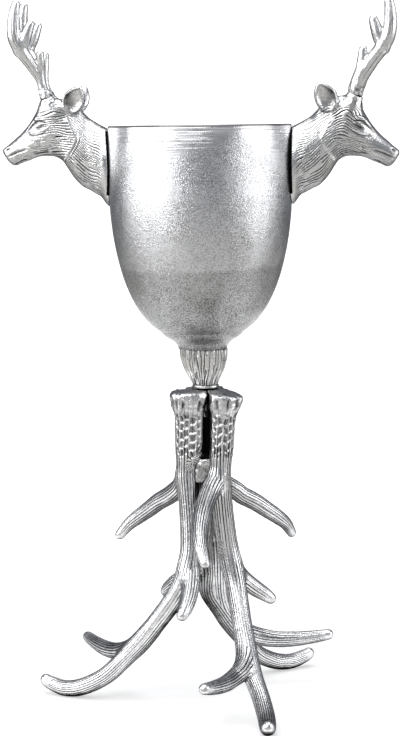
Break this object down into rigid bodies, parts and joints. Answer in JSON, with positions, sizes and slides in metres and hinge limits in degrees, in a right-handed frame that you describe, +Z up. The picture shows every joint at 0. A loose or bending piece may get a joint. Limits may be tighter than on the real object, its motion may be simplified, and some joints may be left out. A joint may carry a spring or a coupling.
{
  "type": "wine cooler on stand",
  "caption": "Deep footed wine cooler cup with stag heads on its sides, carried on a tripod stand of cast antlers.",
  "frame": {"origin": "centre of the object's box, on the floor it stands on", "axes": "+Z up, the two heads lie along X, and the picture looks roughly along +Y"},
  "size_m": [0.4492, 0.3468, 0.802],
  "materials": {
    "cast_silver": "cast and polished, bright high points and grey hollows",
    "cast_silver_grey": "granular cast skin, polished",
    "steel": "plated",
    "rubber": "matt"
  },
  "bodies": {
    "root": {"stem": "cast_silver", "stem_collar": "cast_silver", "leg_left": "cast_silver", "leg_front": "cast_silver", "leg_back": "cast_silver", "left_head": "cast_silver", "right_head": "cast_silver", "left_antler_front": "cast_silver", "left_antler_back": "cast_silver", "right_antler_front": "cast_silver", "right_antler_back": "cast_silver", "bowl": "cast_silver_grey", "web_block": "cast_silver_grey", "centre_rod": "steel", "bowl_nut": "steel", "bowl_washer": "steel", "hub_nut": "steel", "hub_washer": "steel", "collar_screw_left": "steel", "collar_screw_front": "steel", "collar_screw_back": "steel", "leg_pin_left": "steel", "leg_pin_front": "steel", "leg_pin_back": "steel", "left_screw_upper": "steel", "left_washer_upper": "steel", "left_screw_lower": "steel", "left_washer_lower": "steel", "right_screw_upper": "steel", "right_washer_upper": "steel", "right_screw_lower": "steel", "right_washer_lower": "steel", "bowl_seal": "rubber", "left_gasket": "rubber", "right_gasket": "rubber"}
  },
  "joints": []
}
